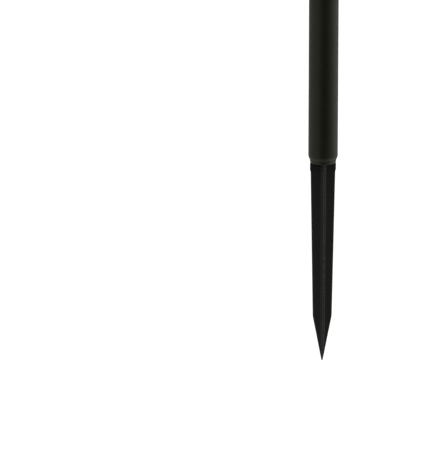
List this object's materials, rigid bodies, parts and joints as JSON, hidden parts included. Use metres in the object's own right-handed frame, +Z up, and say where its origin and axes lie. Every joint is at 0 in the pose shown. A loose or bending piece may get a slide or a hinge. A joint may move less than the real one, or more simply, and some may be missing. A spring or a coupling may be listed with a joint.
{
  "type": "tiki torch",
  "caption": "Garden torch with a plug-together steel pole, a finned ground spike, and a cup that holds a fuel canister with a wick burner and a hinged snuffer.",
  "frame": {"origin": "on the pole's axis, at the mouth of the lowest tube, where the spike's shoulder meets it: the ground line", "axes": "+Z up along the pole, +X the side that the snuffer opens towards, -Z the way the spike points"},
  "size_m": [0.1199, 0.1042, 1.5506],
  "materials": {
    "pole_paint": "dark bronze powder coat, satin",
    "black_plastic": "moulded, fine texture",
    "steel": "zinc plated",
    "tinplate": "drawn tinplate",
    "rubber": "matte",
    "brass": "turned",
    "wick_braid": "braided glass fibre",
    "knob_plastic": "moulded, satin"
  },
  "bodies": {
    "spike": {"ground_spike": "black_plastic"},
    "lower_section": {"lower_tube": "pole_paint"},
    "middle_section": {"middle_coupler": "black_plastic", "middle_tube": "pole_paint"},
    "upper_section": {"upper_coupler": "black_plastic", "upper_tube": "pole_paint", "head_socket": "pole_paint", "head_screws": "steel", "holder_cup": "pole_paint", "holder_washer": "steel", "holder_bolt": "steel"},
    "canister": {"canister_body": "tinplate", "canister_top": "tinplate"},
    "gasket": {"neck_gasket": "rubber"},
    "burner": {"burner_cap": "pole_paint", "wick_tube": "brass", "wick_nut": "brass", "snuffer_bracket": "steel", "bracket_rivets": "steel", "snuffer_pin": "steel"},
    "wick": {"wick": "wick_braid"},
    "snuffer": {"snuffer_arm": "steel", "snuffer_bell": "pole_paint", "snuffer_knob": "knob_plastic", "snuffer_screw": "steel"}
  },
  "joints": [
    {"name": "lower_pull_off", "type": "slide", "parent": "spike", "child": "lower_section", "axis": [0, 0, 1], "range_m": [0, 0.045]},
    {"name": "middle_pull_out", "type": "slide", "parent": "lower_section", "child": "middle_section", "axis": [0, 0, 1], "range_m": [0, 0.03]},
    {"name": "upper_pull_out", "type": "slide", "parent": "middle_section", "child": "upper_section", "axis": [0, 0, 1], "range_m": [0, 0.03]},
    {"name": "canister_lift", "type": "slide", "parent": "upper_section", "child": "canister", "axis": [0, 0, 1], "range_m": [0, 0.09]},
    {"name": "burner_rise", "type": "slide", "parent": "canister", "child": "gasket", "axis": [0, 0, 1], "range_m": [0, 0.006]},
    {"name": "burner_turn", "type": "hinge", "parent": "gasket", "child": "burner", "pos_m": [0, 0, 1.33425], "axis": [0, 0, 1], "range_deg": [0, 540]},
    {"name": "wick_feed", "type": "slide", "parent": "burner", "child": "wick", "axis": [0, 0, 1], "range_m": [-0.005, 0.005]},
    {"name": "snuffer_close", "type": "hinge", "parent": "burner", "child": "snuffer", "pos_m": [0.024, 0, 1.34225], "axis": [0, -1, 0], "range_deg": [0, 115]}
  ],
  "couplings": [
    {"joint": "burner_rise", "follows": "burner_turn", "m_per_rad": 0.00063662}
  ]
}
